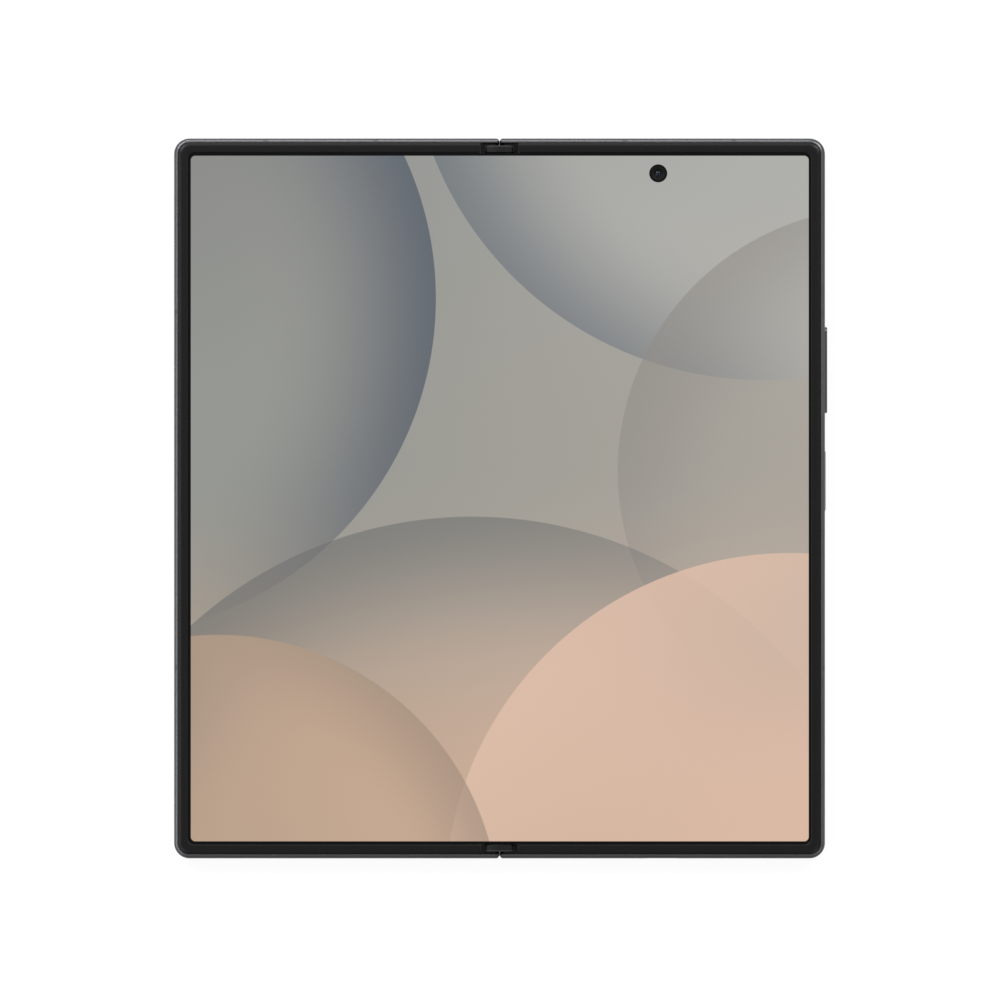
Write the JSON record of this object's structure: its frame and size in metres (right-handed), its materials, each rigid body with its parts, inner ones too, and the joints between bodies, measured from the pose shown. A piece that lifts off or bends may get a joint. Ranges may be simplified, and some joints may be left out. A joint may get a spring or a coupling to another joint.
{
  "type": "foldable smartphone",
  "caption": "Book-style foldable smartphone, open flat, with a geared hinge, an inner folding display, a cover display and a rear camera island.",
  "frame": {"origin": "middle of the open phone's outline, at the lowest point, which is the face of the rear camera rings", "axes": "+Z out of the inner display, +Y towards the top of the phone, +X towards the half with the keys; the fold runs along Y at X 0"},
  "size_m": [0.1437, 0.1584, 0.0065],
  "materials": {
    "frame_metal": "fine blasted, anodised graphite",
    "antenna_plastic": "matte",
    "back_glass": "frosted",
    "cover_glass": "polished",
    "lens_glass": "polished",
    "display_panel": "satin",
    "bezel_rubber": "matte",
    "camera_metal": "polished and blasted",
    "module_plastic": "matte",
    "board": "satin",
    "steel": "brushed",
    "battery": "matte foil",
    "copper_coil": "satin",
    "gear_brass": "satin",
    "flex_film": "satin",
    "flash_plastic": "polished"
  },
  "bodies": {
    "main_half": {"frame_right": "frame_metal", "antenna_bands_right": "antenna_plastic", "back_glass": "back_glass", "camera_island": "camera_metal", "camera_rings": "camera_metal", "camera_lens_glass": "lens_glass", "camera_modules": "module_plastic", "flash_lens": "flash_plastic", "main_board": "board", "board_shields": "steel", "battery_right": "battery", "charging_coil": "copper_coil", "usb_c_port": "steel", "lower_board": "board", "loudspeaker": "module_plastic", "haptic_motor": "steel", "microphones": "steel", "inner_camera": "module_plastic", "key_switches": "flex_film", "display_right": "display_panel", "bezel_right": "bezel_rubber", "screws_right": "steel", "magnets_right": "steel", "hinge_bracket_right": "steel"},
    "cover_half": {"frame_left": "frame_metal", "antenna_bands_left": "antenna_plastic", "cover_glass": "cover_glass", "cover_display": "display_panel", "cover_camera": "module_plastic", "left_board": "board", "left_shields": "steel", "battery_left": "battery", "earpiece": "module_plastic", "card_reader": "steel", "display_left": "display_panel", "bezel_left": "bezel_rubber", "screws_left": "steel", "magnets_left": "steel", "hinge_bracket_left": "steel"},
    "spine": {"spine_cover": "frame_metal", "hinge_blocks": "steel", "hinge_end_caps": "module_plastic", "gear_pins": "steel", "detent_springs": "steel", "display_fold": "display_panel", "hinge_flex": "flex_film"},
    "volume_key": {"volume_key": "frame_metal"},
    "side_key": {"side_key": "frame_metal"},
    "haptic_mass": {"haptic_mass": "steel"},
    "lens_barrel_wide": {"lens_barrel_wide": "module_plastic"},
    "lens_barrel_main": {"lens_barrel_main": "module_plastic"},
    "lens_barrel_tele": {"lens_barrel_tele": "module_plastic"},
    "card_tray": {"card_tray": "frame_metal"},
    "sync_arm_right": {"sync_arm_right": "steel"},
    "sync_arm_left": {"sync_arm_left": "steel"},
    "idler_gear_right": {"idler_gear_right": "gear_brass"},
    "idler_gear_left": {"idler_gear_left": "gear_brass"}
  },
  "joints": [
    {"name": "fold", "type": "hinge", "parent": "spine", "child": "main_half", "pos_m": [0.00125, 0, 0.0055], "axis": [0, 1, 0], "range_deg": [-90, 0], "deforming": ["display_fold", "hinge_flex"]},
    {"name": "cover_fold", "type": "hinge", "parent": "spine", "child": "cover_half", "pos_m": [-0.00125, 0, 0.0055], "axis": [0, 1, 0], "range_deg": [0, 90]},
    {"name": "sync_right", "type": "hinge", "parent": "spine", "child": "sync_arm_right", "pos_m": [0.0018, 0, 0.00465], "axis": [0, 1, 0], "range_deg": [-90, 0]},
    {"name": "idler_right", "type": "hinge", "parent": "spine", "child": "idler_gear_right", "pos_m": [0.0006, 0, 0.00465], "axis": [0, 1, 0], "range_deg": [0, 90]},
    {"name": "idler_left", "type": "hinge", "parent": "spine", "child": "idler_gear_left", "pos_m": [-0.0006, 0, 0.00465], "axis": [0, 1, 0], "range_deg": [-90, 0]},
    {"name": "sync_left", "type": "hinge", "parent": "spine", "child": "sync_arm_left", "pos_m": [-0.0018, 0, 0.00465], "axis": [0, 1, 0], "range_deg": [0, 90]},
    {"name": "volume_rock", "type": "hinge", "parent": "main_half", "child": "volume_key", "pos_m": [0.06995, 0.02825, 0.00438], "axis": [0, 0, 1], "range_deg": [-1.2, 1.2], "stiffness_Nm_per_rad": 0.5},
    {"name": "side_press", "type": "slide", "parent": "main_half", "child": "side_key", "axis": [-1, 0, 0], "range_m": [0, 0.00015], "stiffness_N_per_m": 8000},
    {"name": "card_slide", "type": "slide", "parent": "cover_half", "child": "card_tray", "axis": [-1, 0, 0], "range_m": [0, 0.03]},
    {"name": "haptic_swing", "type": "slide", "parent": "main_half", "child": "haptic_mass", "axis": [1, 0, 0], "range_m": [-0.0003, 0.0003], "stiffness_N_per_m": 1000},
    {"name": "focus_wide", "type": "slide", "parent": "main_half", "child": "lens_barrel_wide", "axis": [0, 0, 1], "range_m": [0, 0.00025], "stiffness_N_per_m": 60},
    {"name": "focus_main", "type": "slide", "parent": "main_half", "child": "lens_barrel_main", "axis": [0, 0, 1], "range_m": [0, 0.00025], "stiffness_N_per_m": 60},
    {"name": "focus_tele", "type": "slide", "parent": "main_half", "child": "lens_barrel_tele", "axis": [0, 0, 1], "range_m": [0, 0.00025], "stiffness_N_per_m": 60}
  ],
  "couplings": [
    {"joint": "cover_fold", "follows": "fold", "ratio": -1},
    {"joint": "sync_right", "follows": "fold", "ratio": 1},
    {"joint": "idler_right", "follows": "fold", "ratio": -1},
    {"joint": "idler_left", "follows": "fold", "ratio": 1},
    {"joint": "sync_left", "follows": "fold", "ratio": -1}
  ]
}
